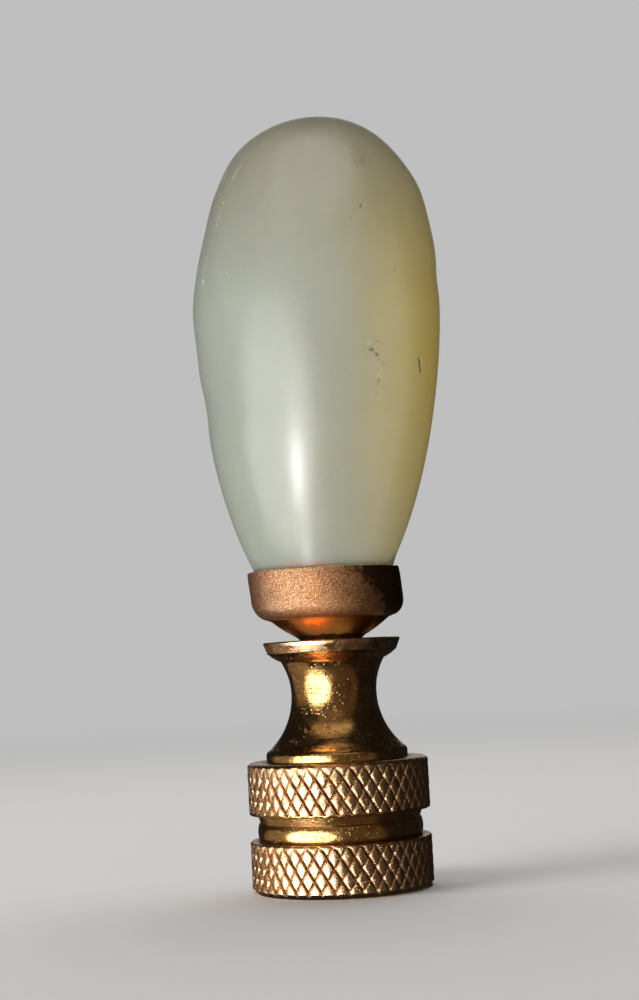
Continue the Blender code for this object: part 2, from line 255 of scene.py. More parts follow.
# Lights: name, side, rise, distance, wide, tall, glow, what is lit, colour, height of the
# point they aim at, and the part of the light they are kept to, if any
WHITE = (1, 1, 1)
LIGHTS = [
    ("key", -44, -12, 0.3, 66, 48, 6.0, "metal", WHITE, 0.02, None),
    ("left", -98, -22, 0.3, 70, 60, 0.23, "metal", (1, 0.86, 0.7), 0.02, None),
    ("front", 15, -8, 0.3, 100, 90, 0.08, "metal", (1, 0.72, 0.46), 0.02, None),
    ("above", -10, 55, 0.2, 80, 20, 0.55, "metal", (1, 0.9, 0.72), 0.02, None),
    ("upper", -14, 36, 0.2, 60, 24, 0.16, "metal", (1, 0.9, 0.72), 0.02, None),
    ("under", -160, -66, 0.2, 50, 40, 0.26, "cup", (1, 0.85, 0.6), 0.023, None),
    ("cup_low", -40, -52, 0.3, 34, 16, 2.5, "cup", WHITE, 0.024, None),
    ("cup_front", 20, 0, 0.3, 50, 60, 0.10, "cup", (1, 0.85, 0.7), 0.024, None),
    ("stone_key", -45, -15, 0.3, 76, 50, 3.4, "jade", WHITE, 0.036, None),
    ("stone_low", -27, -38, 0.3, 50, 24, 1.1, "jade", WHITE, 0.033, None),
    ("stone_strip", -26, -20, 0.3, 9, 13, 38.0, "jade", WHITE, 0.036, "glossy"),
    ("stone_spot", -28, -43, 0.3, 8, 8, 20.0, "jade", WHITE, 0.030, "glossy"),
    ("stone_fill", 2, -22, 0.3, 60, 60, 1.25, "jade", WHITE, 0.036, "diffuse"),
    ("stone_top", -5, 66, 0.3, 70, 60, 1.15, "jade", WHITE, 0.045, None),
    ("stone_right", 75, -4, 0.3, 50, 50, 0.95, "jade", (1, 0.9, 0.66), 0.042, None),
    ("back", 180, 22, 0.4, 36, 45, 0.35, "pieces", WHITE, 0.02, None),
    ("overhead", 170, 70, 0.5, 50, 50, 4.0, "ground", WHITE, 0.02, None),
    ("overhead_left", -70, 48, 0.5, 30, 30, 6.0, "ground", WHITE, 0.02, None),
]


def smoothstep(low, high, value):
    t = min(max((value - low) / (high - low), 0.0), 1.0)
    return t * t * (3 - 2 * t)


def near_side(angle, side, spread):
    """1 where the angle is at that side in degrees, falling to 0 beyond its spread."""
    turn = (angle - radians(side) + pi) % (2 * pi) - pi
    return exp(-(turn / radians(spread)) ** 2)


def on_circle(radius, angle, z, shift=0.0):
    return (shift + radius * sin(angle), -radius * cos(angle), z)


def arc(start, end, bulge, steps):
    """A curve that stands out to the right of its direction of travel by bulge."""
    (r0, z0), (r1, z1) = start, end
    length = hypot(r1 - r0, z1 - z0)
    nr, nz = (z1 - z0) / length, -(r1 - r0) / length
    points = []
    for k in range(steps + 1):
        t = k / steps
        swell = 4 * bulge * t * (1 - t)
        points.append((r0 + (r1 - r0) * t + nr * swell, z0 + (z1 - z0) * t + nz * swell))
    return points


def cove(waist, end, sweep, steps):
    """A hollow circular curve, or an oval one, that leaves the waist upright."""
    (r0, z0), (r1, z1) = waist, end
    points = []
    for k in range(steps + 1):
        t = k / steps
        run = (1 - sqrt(1 - (t * sin(sweep)) ** 2)) / (1 - cos(sweep))
        points.append((r0 + (r1 - r0) * run, z0 + (z1 - z0) * t))
    return points


def inset(points, distance):
    """The same outline moved inward, to the left of its direction of travel."""
    moved = []
    for k, (r, z) in enumerate(points):
        before = points[max(k - 1, 0)]
        after = points[min(k + 1, len(points) - 1)]
        sides = []
        for (ra, za), (rb, zb) in ((before, (r, z)), ((r, z), after)):
            length = hypot(rb - ra, zb - za)
            if length > 0:
                sides.append((-(zb - za) / length, (rb - ra) / length))
        nr = sum(s[0] for s in sides) / len(sides)
        nz = sum(s[1] for s in sides) / len(sides)
        square = nr * nr + nz * nz
        moved.append((max(r + nr * distance / square, 0.0), z + nz * distance / square))
    return moved


def split(points, step):
    """The same line of points with none further apart than step."""
    line = [points[0]]
    for (r0, z0), (r1, z1) in zip(points, points[1:]):
        parts = max(1, round(hypot(r1 - r0, z1 - z0) / step))
        for k in range(1, parts + 1):
            line.append((r0 + (r1 - r0) * k / parts, z0 + (z1 - z0) * k / parts))
    return line


class Skin:
    """One closed skin of rings about the Z axis, with a few values kept per vertex."""

    def __init__(self, columns, marks=("grime", "satin")):
        self.columns = columns
        self.marks = {name: [] for name in marks}
        self.points = []
        self.faces = []
        self.last = None

    def vertex(self, point, values=()):
        self.points.append(point)
        for name, kept in self.marks.items():
            kept.append(dict(values).get(name, 0.0))
        return len(self.points) - 1

    def ring(self, radius, z, shift=0.0, uneven=None, columns=None, **values):
        if radius < 1e-9:
            self.join([(0.0, self.vertex((shift, 0.0, z), values.items()))])
            return
        columns = columns or self.columns
        ring = []
        for k in range(columns):
            angle = 2 * pi * k / columns
            r, h = radius, z
            if uneven:
                dr, dz = uneven(angle, z)
                r, h = r + dr, h + dz
            here = {n: v(angle, z) if callable(v) else v for n, v in values.items()}
            ring.append((angle, self.vertex(on_circle(r, angle, h, shift), here.items())))
        self.join(ring)

    def join(self, ring):
        if self.last is not None:
            self.skin(self.last, ring)
        self.last = ring

    def skin(self, a, b):
        if len(a) == 1 or len(b) == 1:
            tip, loop = (a[0][1], b) if len(a) == 1 else (b[0][1], a)
            for k in range(len(loop)):
                pair = (loop[k][1], loop[(k + 1) % len(loop)][1])
                self.faces.append((tip, *pair) if len(b) == 1 else (tip, *reversed(pair)))
            return
        if len(a) == len(b) and abs(a[0][0] - b[0][0]) < 1e-9:
            for k in range(len(a)):
                n = (k + 1) % len(a)
                self.faces.append((a[k][1], a[n][1], b[n][1], b[k][1]))
            return
        first = min(range(len(b)), key=lambda k: abs(wrap(b[k][0] - a[0][0])))
        b = b[first:] + b[:first]
        start = a[0][0]
        turn_a = [(p[0] - start) % (2 * pi) for p in a] + [2 * pi]
        offset = wrap(b[0][0] - start)
        turn_b = [offset + (p[0] - b[0][0]) % (2 * pi) for p in b] + [offset + 2 * pi]
        i = j = 0
        while i < len(a) or j < len(b):
            va, vb = a[i % len(a)][1], b[j % len(b)][1]
            if j >= len(b) or (i < len(a) and turn_a[i + 1] <= turn_b[j + 1]):
                self.faces.append((va, a[(i + 1) % len(a)][1], vb))
                i += 1
            else:
                self.faces.append((va, b[(j + 1) % len(b)][1], vb))
                j += 1

    def knurl(self, radius, z0, z1, turn, dice, fade):
        """A knurled band. fade(angle, z) is the share of the depth that is left there."""
        fine = KNURL_FINENESS
        around, rows = 2 * KNURLS_AROUND * fine, KNURL_ROWS * fine
        deep = [KNURL_DEEP * dice.uniform(0.85, 1.12) for _ in range(KNURLS_AROUND)]
        shallow = [KNURL_SHALLOW * dice.uniform(0.75, 1.2) for _ in range(KNURLS_AROUND)]
        grid, slant = [], []
        for j in range(rows + 1):
            z = z0 + (z1 - z0) * j / rows
            ring, lean = [], []
            for i in range(around):
                angle = turn + 2 * pi * i / around
                u, v = (i + j) / (2 * fine), (i - j) / (2 * fine)
                cut_deep = deep[round(u - 0.5) % KNURLS_AROUND] * groove((u + 0.5) % 1, 1.6)
                cut_shallow = (shallow[round(v - 0.5) % KNURLS_AROUND]
                               * groove((0.5 - v) % 1, 1.2, 0.5))
                left = fade(angle, z)
                cut = max(cut_deep, cut_shallow) * left
                dome = KNURL_DOME * ((2 * (u - round(u))) ** 2 + (2 * (v - round(v))) ** 2)
                rough = KNURL_ROUGHNESS * noise.noise(Vector((angle * 40, z * 6000, turn * 9)))
                r = radius - cut - dome + rough
                # First value: painted shade in the grooves, darker for deeper cuts, and dirt where
                # the knurl is worn flat.
                values = {"grime": max(cut / KNURL_DEEP, 0.5 * (1 - left)), "satin": 2.0 - left}
                ring.append((angle, self.vertex(on_circle(r, angle, z), values.items())))
                lean.append(cut_deep >= cut_shallow)
            grid.append(ring)
            slant.append(lean)
        self.join(grid[0])
        for j in range(rows):
            low, high = grid[j], grid[j + 1]
            for i in range(around):
                n = (i + 1) % around
                a, b, c, d = low[i][1], low[n][1], high[n][1], high[i][1]
                if slant[j][n] and slant[j + 1][i]:
                    self.faces += [(a, b, d), (b, c, d)]
                else:
                    self.faces += [(a, b, c), (a, c, d)]
        self.last = grid[-1]

    def finish(self, name, materials, node, sharp=50, second=None):
        mesh = bpy.data.meshes.new(name)
        mesh.from_pydata(self.points, [], self.faces)
        for mark, kept in self.marks.items():
            mesh.attributes.new(mark, "FLOAT", "POINT").data.foreach_set("value", kept)
        mesh.shade_smooth()
        mesh.set_sharp_from_angle(angle=radians(sharp))
        for material in materials:
            mesh.materials.append(material)
        if second is not None:
            for face in mesh.polygons[second:]:
                face.material_index = 1
        mesh.validate()
        item = bpy.data.objects.new(name, mesh)
        bpy.context.collection.objects.link(item)
        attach(item, "root")
        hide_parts(node)
        return item


def wrap(angle):
    return (angle + pi) % (2 * pi) - pi


def groove(away, power, narrow=1.0):
    """Depth, 0 to 1, at a share of the spacing past a groove's bottom line: a rounded side
    after it and a steep side before it."""
    if away < 0.5:
        return max(0.0, 1 - away / (KNURL_FLANK * narrow)) ** power
    return max(0.0, 1 - (1 - away) / KNURL_WALL)


class Shader:
    """A node material, with a short call for each kind of node it uses."""

    def __init__(self, name):
        self.material = bpy.data.materials.new(name)
        self.material.use_nodes = True
        self.tree = self.material.node_tree
        self.surface = self.tree.nodes["Principled BSDF"]
        self.place = self.tree.nodes.new("ShaderNodeTexCoord").outputs["Object"]

    def node(self, kind, inputs=(), **settings):
        made = self.tree.nodes.new(kind)
        for key, value in settings.items():
            setattr(made, key, value)
        for key, value in dict(inputs).items():
            self.put(made.inputs[key], value)
        return made

    def put(self, socket, value):
        if isinstance(value, bpy.types.NodeSocket):
            self.tree.links.new(value, socket)
        elif isinstance(value, (tuple, list)) and socket.type == "RGBA":
            socket.default_value = (*value, 1.0)[:4]
        else:
            socket.default_value = value

    def set(self, **inputs):
        for key, value in inputs.items():
            self.put(self.surface.inputs[key.replace("_", " ")], value)

    def kept(self, name):
        return self.node("ShaderNodeAttribute", attribute_name=name).outputs["Fac"]

    def stretched(self, scale):
        return self.node("ShaderNodeMapping", {"Vector": self.place, "Scale": scale}).outputs[0]

    def noise(self, scale, detail=4.0, roughness=0.55, place=None, distortion=0.0):
        return self.node("ShaderNodeTexNoise", {
            "Vector": place or self.place, "Scale": scale, "Detail": detail,
            "Roughness": roughness, "Distortion": distortion}).outputs["Fac"]

    def cells(self, scale):
        return self.node("ShaderNodeTexVoronoi", {
            "Vector": self.place, "Scale": scale}).outputs["Distance"]

    def math(self, operation, a, b):
        return self.node("ShaderNodeMath", {0: a, 1: b}, operation=operation).outputs[0]

    def span(self, value, low, high, to_low=0.0, to_high=1.0, smooth=True):
        """The node's own clamp is left off: it would be compiled after all other nodes, and
        the many marks on the stone would then run out of room."""
        made = self.node("ShaderNodeMapRange", {
            "Value": value, "From Min": low, "From Max": high,
            "To Min": to_low, "To Max": to_high},
            interpolation_type="SMOOTHSTEP" if smooth else "LINEAR", clamp=False).outputs[0]
        if smooth:
            return made
        made = self.math("MINIMUM", made, max(to_low, to_high))
        return self.math("MAXIMUM", made, min(to_low, to_high))

    def mix(self, share, a, b):
        made = self.node("ShaderNodeMix", data_type="RGBA")
        for socket, value in ((made.inputs[0], share), (made.inputs[6], a), (made.inputs[7], b)):
            self.put(socket, value)
        return made.outputs[2]

    def bump(self, height, depth):
        return self.node("ShaderNodeBump", {
            "Height": height, "Distance": depth, "Strength": 1.0}).outputs[0]

    def stroke(self, start, end, radius):
        """1 on the line from start to end, falling to 0 at radius from it."""
        along = Vector(end) - Vector(start)
        away = self.vector("SUBTRACT", self.place, tuple(start)).outputs[0]
        if along.length > 1e-6:
            share = self.vector("DOT_PRODUCT", away, tuple(along / along.length_squared))
            share = self.span(share.outputs["Value"], 0, 1, smooth=False)
            reach = self.vector("SCALE", tuple(along))
            self.put(reach.inputs["Scale"], share)
            away = self.vector("SUBTRACT", away, reach.outputs[0]).outputs[0]
        length = self.vector("LENGTH", away).outputs["Value"]
        return self.span(length, 0, 1.6 * radius, 1.0, 0.0, smooth=False)

    def vector(self, operation, a, b=None):
        made = self.node("ShaderNodeVectorMath", {0: a}, operation=operation)
        if b is not None:
            self.put(made.inputs[1], b)
        return made


def brass_material():
    s = Shader("turned_brass")
    grime, satin = s.kept("grime"), s.kept("satin")
    blotches = s.noise(420, 5, 0.62, distortion=0.6)
    mottle = s.noise(1500, 5, 0.65)
    fine = s.noise(5200, 3, 0.65)
    grain = s.noise(13000, 2, 0.6)
    rings = s.noise(1.0, 3, 0.6, s.stretched((60, 60, 9000)))
    gold = s.mix(s.span(blotches, 0.38, 0.62), (0.80, 0.47, 0.16), (0.64, 0.32, 0.12))
    gold = s.mix(s.span(satin, 0.1, 1, smooth=False), gold, (0.80, 0.50, 0.28))
    worn = s.mix(s.span(mottle, 0.50, 0.68, 0.0, 0.8), gold, (0.26, 0.13, 0.045))
    pits = s.math("MULTIPLY", s.span(s.cells(2600), 0.12, 0.26, 1.0, 0.0),
                  s.span(s.noise(620, 3, 0.6), 0.46, 0.60))
    flecks = s.math("MULTIPLY", s.span(s.cells(3600), 0.14, 0.28, 1.0, 0.0),
                    s.span(s.noise(700, 3, 0.6), 0.43, 0.57))
    marked = s.mix(s.math("MULTIPLY", pits, 0.85), worn, (0.12, 0.06, 0.02))
    marked = s.mix(s.math("MULTIPLY", flecks, 0.9), marked, (0.95, 0.70, 0.36))
    # Where the kept darkening value is high the brass turns dark brown: painted shade in the
    # knurl's grooves, creases, corners, the socket, under the flange and the upper band and where
    # the cup covers it, and dirt in the flange rim's patches and on the worn knurl.
    dirt_and_shade_share = s.math("MULTIPLY", s.span(grime, 0.15, 0.9), s.span(mottle, 0.25, 0.75, 0.95, 0.6))
    colour = s.mix(dirt_and_shade_share, marked, (0.13, 0.065, 0.025))
    rough = s.math("ADD", s.span(satin, 0, 2, 0.17, 0.34, False),
                   s.span(mottle, 0.40, 0.75, -0.03, 0.15))
    rough = s.math("ADD", rough, s.math("MULTIPLY", dirt_and_shade_share, 0.25))
    plain = s.math("ADD", s.math("MULTIPLY", rings, 0.30), s.math("MULTIPLY", fine, 0.55))
    plain = s.math("ADD", plain, s.math("MULTIPLY", mottle, 0.9))
    height = s.math("ADD", plain, s.math("MULTIPLY", s.math("MULTIPLY", grain, satin), 1.1))
    height = s.math("SUBTRACT", height, s.math("MULTIPLY", pits, 1.6))
    height = s.math("ADD", height, s.math("MULTIPLY", flecks, 1.8))
    s.set(Base_Color=colour, Roughness=rough, Metallic=1.0, Normal=s.bump(height, 0.013 * MM))
    return s.material


def cup_material():
    s = Shader("matte_cup_metal")
    grime, satin = s.kept("grime"), s.kept("satin")
    blotches = s.noise(520, 5, 0.6, distortion=0.5)
    grain = s.noise(13000, 2, 0.8)
    coarse = s.noise(2600, 3, 0.6)
    rings = s.noise(1.0, 3, 0.6, s.stretched((60, 60, 6000)))
    matte = s.mix(s.span(blotches, 0.35, 0.65), (0.47, 0.20, 0.070), (0.36, 0.15, 0.046))
    matte = s.mix(s.span(grain, 0.53, 0.61, 0.0, 1.0), matte, (0.98, 0.70, 0.50))
    matte = s.mix(s.span(grain, 0.48, 0.39, 0.0, 0.9), matte, (0.18, 0.07, 0.022))
    polished = s.mix(s.span(rings, 0.3, 0.7), (0.80, 0.38, 0.10), (0.62, 0.27, 0.07))
    colour = s.mix(satin, polished, matte)
    broken = s.math("ADD", s.math("SUBTRACT", s.noise(900, 4, 0.7), 0.5),
                    s.math("MULTIPLY", s.math("SUBTRACT", coarse, 0.5), 0.7))
    # High darkening values turn the cup almost black: painted shade inside it, at its foot and on
    # its right side, where a stain also lies.
    stain = s.span(s.math("ADD", grime, s.math("MULTIPLY", broken, 2.0)), 0.22, 0.80)
    stain_and_shade_share = s.math("MULTIPLY", stain, s.span(grain, 0.45, 0.70, 0.98, 0.80))
    colour = s.mix(stain_and_shade_share, colour, (0.055, 0.022, 0.008))
    rough = s.span(satin, 0, 1, 0.24, 0.40, False)
    rough = s.math("ADD", rough, s.math("MULTIPLY", stain, 0.15))
    blast = s.math("ADD", s.math("MULTIPLY", grain, 1.3), s.math("MULTIPLY", coarse, 0.5))
    height = s.mix(satin, s.math("MULTIPLY", rings, 0.5), s.math("MULTIPLY", blast, 1.5))
    s.set(Base_Color=colour, Roughness=rough, Metallic=1.0, Normal=s.bump(height, 0.028 * MM))
    return s.material


def jade_material(stone):
    s = Shader("pale_jade")
    along = s.node("ShaderNodeSeparateXYZ", {"Vector": s.place})
    x, z = along.outputs["X"], along.outputs["Z"]
    clouds = s.math("SUBTRACT", s.noise(60, 3, 0.5, distortion=0.4), 0.5)
    wisps = s.noise(1.0, 3, 0.5, s.stretched((240, 240, 110)), distortion=0.5)
    drift = s.math("ADD", x, s.math("MULTIPLY", clouds, 5 * MM))
    high = s.math("ADD", z, s.math("MULTIPLY", clouds, 8 * MM))
    colour = s.mix(s.span(drift, -9 * MM, 6 * MM), JADE_LEFT, JADE_MIDDLE)
    # Yellow towards the right: tone, with painted light shining through the stone's shaded side.
    colour = s.mix(s.span(drift, 0.5 * MM, 11.5 * MM), colour, JADE_RIGHT_TONE_AND_LIGHT)
    # Darker towards the top: painted shade, with a warmer tone.
    top = s.span(high, stone.apex - 20 * MM, stone.apex - 2 * MM, 0, 0.85)
    colour = s.mix(top, colour, JADE_TOP_TONE_AND_SHADE)
    speckle = s.noise(900, 4, 0.65)
    colour = s.mix(s.span(wisps, 0.45, 0.80, 0.0, 0.10), colour, (0.66, 0.67, 0.58))
    colour = s.mix(s.span(wisps, 0.50, 0.25, 0.0, 0.05), colour, (0.42, 0.42, 0.30))
    colour = s.mix(s.span(speckle, 0.45, 0.70, 0.0, 0.04), colour, (0.68, 0.68, 0.60))
    colour = s.mix(s.span(speckle, 0.50, 0.30, 0.0, 0.025), colour, (0.36, 0.35, 0.24))
    ragged = s.span(s.noise(7500, 3, 0.65), 0.34, 0.66, 0.0, 2.0, False)
    broken = s.math("MULTIPLY", ragged, s.span(s.noise(1900, 2), 0.34, 0.50))
    plain = colour
    for kind, share, radius, points in STONE_MARKS:
        ends = [stone.point(side, height * MM) for side, height in points]
        for start, end in zip(ends, ends[1:] or ends):
            near = s.stroke(start, end, radius * MM)
            near = s.math("MULTIPLY", near, broken if kind == "crack" else ragged)
            shown = s.span(near, 0.36, 0.64, 0, share)
            colour = s.mix(shown, colour, MARK_TINTS[kind])
    marked = s.span(s.vector("DISTANCE", colour, plain).outputs["Value"], 0.03, 0.30)
    loss = s.vector("SUBTRACT", plain, colour).outputs[0]
    darker = s.vector("DOT_PRODUCT", loss, (0.4, 0.4, 0.2))
    hollow = s.span(darker.outputs["Value"], 0.04, 0.30)
    peel = s.math("ADD", s.noise(3200, 3, 0.6), s.math("MULTIPLY", s.noise(700, 2), 0.35))
    specks = s.math("MULTIPLY", s.span(s.cells(1500), 0.05, 0.13, 1.0, 0.0),
                    s.span(s.noise(260, 2), 0.56, 0.62))
    height = s.math("SUBTRACT", peel, s.math("MULTIPLY", specks, 0.7))
    rough = s.span(hollow, 0, 1, 0.28, 0.7, False)
    s.set(Base_Color=colour, Roughness=rough,
          Subsurface_Weight=s.span(marked, 0, 1, 0.9, 0.0, False),
          Subsurface_Radius=(1.0, 0.85, 0.45), Subsurface_Scale=5.0 * MM,
          IOR=1.6, Normal=s.bump(height, 0.010 * MM))
    return s.material


def cement_material():
    s = Shader("cement")
    mottle = s.noise(2500, 4, 0.6)
    colour = s.mix(s.span(mottle, 0.35, 0.65), (0.42, 0.33, 0.17), (0.22, 0.15, 0.07))
    s.set(Base_Color=colour, Roughness=0.6, Normal=s.bump(mottle, 0.03 * MM))
    return s.material


def make_base(material):
    dice = random.Random(11)
    skin = Skin(PLAIN_COLUMNS)
    # Darker inside the socket and its thread: painted shade in the hole.
    skin.ring(0, SOCKET_DEPTH + SOCKET_RADIUS / tan(DRILL_POINT), columns=THREAD_COLUMNS, grime=0.6)
    skin.ring(SOCKET_RADIUS, SOCKET_DEPTH, columns=THREAD_COLUMNS, grime=0.6)

    def thread(angle, z):
        phase = (z / THREAD_PITCH + angle / (2 * pi)) % 1.0
        depth = 1 - abs(2 * phase - 1)
        depth = min(max((depth - THREAD_FLAT) / THREAD_FLANK, 0.0), 1.0)
        run = smoothstep(SOCKET_DEPTH, SOCKET_DEPTH - THREAD_RUNOUT, z)
        return ((THREAD_ROOT - THREAD_CREST) * depth * run, 0.0)

    top, foot = SOCKET_DEPTH - 0.25 * MM, SOCKET_MOUTH_BEVEL
    for j in range(THREAD_ROWS + 1):
        skin.ring(THREAD_CREST, top + (foot - top) * j / THREAD_ROWS, uneven=thread,
                  columns=THREAD_COLUMNS, grime=0.45)
    skin.ring(SOCKET_RADIUS + SOCKET_MOUTH_BEVEL, 0, grime=0.1)
    face = BAND_RADIUS - UNDERSIDE_BEVEL_IN
    for share in (0.25, 0.5, 0.75):
        skin.ring(SOCKET_RADIUS + (face - SOCKET_RADIUS) * share, 0, satin=0.3)
    skin.ring(face - 0.05 * MM, 0, satin=0.4)
    skin.ring(face + 0.03 * MM, 0.04 * MM, satin=0.6)
    skin.ring(BAND_RADIUS - 0.06 * MM, UNDERSIDE_BEVEL - 0.04 * MM, satin=1.0)

    def worn(top, reach, side_reach):
        def fade(angle, z):
            depth = reach + side_reach * near_side(angle, -40, 38)
            foot = smoothstep(UNDERSIDE_BEVEL - 0.02 * MM, UNDERSIDE_BEVEL + 0.15 * MM, z)
            return (0.15 + 0.85 * foot) * (0.12 + 0.88 * smoothstep(top, top - depth, z))
        return fade

    band = LOWER_BAND_TOP - EDGE_BREAK
    skin.knurl(BAND_RADIUS, UNDERSIDE_BEVEL, band, LOWER_KNURL_TURN, dice,
               worn(band, 0.15 * MM, 0.5 * MM))
    inner = BAND_RADIUS - KNURL_DEEP - EDGE_BREAK
    skin.ring(BAND_RADIUS - 0.12 * MM, LOWER_BAND_TOP - 0.02 * MM, satin=0.8)
    # Darker in the groove's corners, at the bead's foot and under the upper band: painted shade.
    skin.ring(inner, LOWER_BAND_TOP, grime=0.3)
    skin.ring(GROOVE_RADIUS, LOWER_BAND_TOP, grime=0.9)
    bead_foot = LOWER_BAND_TOP + BEAD_FLAT
    bead_top = bead_foot + BEAD_HEIGHT
    for r, z in arc((GROOVE_RADIUS + BEAD_SWELL / 2, bead_foot), (GROOVE_RADIUS, bead_top),
                    BEAD_SWELL, 14):
        skin.ring(r, z, grime=0.5 if z < bead_foot + 0.08 * MM else 0.0)
    skin.ring(GROOVE_RADIUS - 0.05 * MM, bead_top + 0.04 * MM, grime=0.9)
    for k in range(9):
        t = k / 8
        skin.ring(GROOVE_RADIUS + GROOVE_FLARE * (1.9 * t - 0.9),
                  bead_top + 0.08 * MM + (GROOVE_TOP - bead_top - 0.10 * MM) * t,
                  satin=0.1, grime=0.25)
    skin.ring(GROOVE_RADIUS + GROOVE_FLARE + 0.12 * MM, GROOVE_TOP, grime=0.3)
    skin.ring(inner, GROOVE_TOP, grime=0.2)
    skin.ring(BAND_RADIUS - 0.11 * MM, GROOVE_TOP, satin=0.6)
    skin.ring(BAND_RADIUS - 0.04 * MM, GROOVE_TOP + 0.05 * MM, satin=0.1)
    skin.ring(BAND_RADIUS - 0.02 * MM, GROOVE_TOP + PLAIN_STRIP - 0.05 * MM, satin=0.1)

    band = UPPER_BAND_TOP - TOP_BEVEL
    skin.knurl(BAND_RADIUS, GROOVE_TOP + PLAIN_STRIP, band, UPPER_KNURL_TURN, dice,
               worn(band, 0.25 * MM, 1.5 * MM))
    skin.ring(BAND_RADIUS - 0.05 * MM, band + 0.06 * MM, satin=0.9)
    skin.ring(BAND_RADIUS - TOP_BEVEL, UPPER_BAND_TOP - 0.03 * MM, satin=0.6)
    skin.ring(BAND_RADIUS - TOP_BEVEL - 0.08 * MM, UPPER_BAND_TOP, satin=0.4)
    # Darker in the corner where the lip stands on the band: painted shade.
    skin.ring((BAND_RADIUS + LIP_RADIUS) / 2, UPPER_BAND_TOP, satin=0.2, grime=0.1)
    skin.ring(LIP_RADIUS + 0.04 * MM, UPPER_BAND_TOP, grime=0.8)
    skin.ring(LIP_RADIUS, UPPER_BAND_TOP + 0.04 * MM, grime=0.5)
    skin.ring(LIP_RADIUS, UPPER_BAND_TOP + 0.14 * MM)
    skin.ring(LIP_RADIUS, LIP_TOP - 0.1 * MM)
    skin.ring(LIP_RADIUS - 0.015 * MM, LIP_TOP - 0.03 * MM)
    neck_foot = (LIP_RADIUS - EDGE_BREAK, LIP_TOP + EDGE_BREAK)
    skin.ring(LIP_RADIUS - 0.07 * MM, LIP_TOP + 0.04 * MM, grime=0.2)
    waist = (WAIST_RADIUS, neck_foot[1] + NECK_LOWER_RISE)
    shoulder = (WAIST_RADIUS + NECK_UPPER_FLARE, waist[1] + NECK_UPPER_RISE)

    def hand_turned(angle, z):
        return (0.012 * MM * noise.noise(Vector((angle * 1.5, z * 700, 3))), 0.0)

    for r, z in reversed(cove(waist, neck_foot, NECK_LOWER_SWEEP, 26)):
        skin.ring(r, z, uneven=hand_turned)
    for r, z in cove(waist, shoulder, NECK_UPPER_SWEEP, 14)[1:]:
        skin.ring(r, z, uneven=hand_turned)

    rim_foot = shoulder[1] + FLANGE_CONE_HEIGHT
    rim_top = rim_foot + FLANGE_RIM_HEIGHT
    low = FLANGE_RADIUS - FLANGE_RIM_TAPER
    # Darker on the flange's underside: painted shade.
    skin.ring(shoulder[0] + 0.3 * (low - shoulder[0]), shoulder[1] + 0.22 * FLANGE_CONE_HEIGHT,
              grime=0.35, satin=0.5)
    skin.ring(shoulder[0] + 0.65 * (low - shoulder[0]), shoulder[1] + 0.58 * FLANGE_CONE_HEIGHT,
              grime=0.3, satin=0.6)
    skin.ring(low - FLANGE_EDGE, rim_foot - FLANGE_EDGE / 2)
    skin.ring(low - 0.03 * MM, rim_foot - 0.01 * MM)

    def patchy(angle, z):
        return 0.8 + 1.6 * noise.noise(Vector((sin(angle) * 7, cos(angle) * 7, z * 1500)))

    def soiled(angle, z):
        side = near_side(angle, -75, 22) + near_side(angle, 40, 45)
        patch = noise.noise(Vector((sin(angle) * 11, cos(angle) * 11, z * 2500)))
        return max(0.0, 0.5 * side + 0.5 * patch)

    for share in (0.0, 0.3, 0.6, 1.0):
        z = rim_foot + FLANGE_EDGE / 2 + (FLANGE_RIM_HEIGHT - 1.5 * FLANGE_EDGE) * share
        r = low + 0.01 * MM + (FLANGE_RIM_TAPER - 0.02 * MM) * share
        skin.ring(r, z, satin=patchy, grime=soiled)
    skin.ring(FLANGE_RADIUS - 0.035 * MM, rim_top - 0.05 * MM)
    skin.ring(FLANGE_RADIUS - FLANGE_EDGE, rim_top)
    # Darker where the cup covers the flange's top: painted shade between the parts.
    skin.ring(FLANGE_RADIUS * 0.75, rim_top, grime=0.4)
    skin.ring(FLANGE_RADIUS * 0.45, rim_top, grime=0.8)
    skin.ring(0, rim_top, grime=0.8)
    skin.finish("brass_base", [material], "finial_base")
    return rim_top


def cup_outline(foot, knuckle_steps=5, dish_steps=3):
    dish_radius = CUP_RADIUS - CUP_FLARE - CUP_KNUCKLE_REACH
    dish = arc((CUP_FOOT_RADIUS, foot), (dish_radius, foot + CUP_DISH_RISE), CUP_DISH_BULGE,
               dish_steps)
    side_foot = foot + CUP_DISH_RISE + CUP_KNUCKLE_RISE
    knuckle = []
    for k in range(1, knuckle_steps + 1):
        t = pi / 2 * k / knuckle_steps
        knuckle.append((dish_radius + CUP_KNUCKLE_REACH * sin(t),
                        side_foot - CUP_KNUCKLE_RISE * cos(t)))
    return dish + knuckle + [(CUP_RADIUS, side_foot + CUP_SIDE_RISE)]


def cup_drift(foot, z):
    start = foot + CUP_DISH_RISE
    rise = CUP_KNUCKLE_RISE + CUP_SIDE_RISE
    return CUP_SHIFT * min(max((z - start) / rise, 0.0), 1.0)


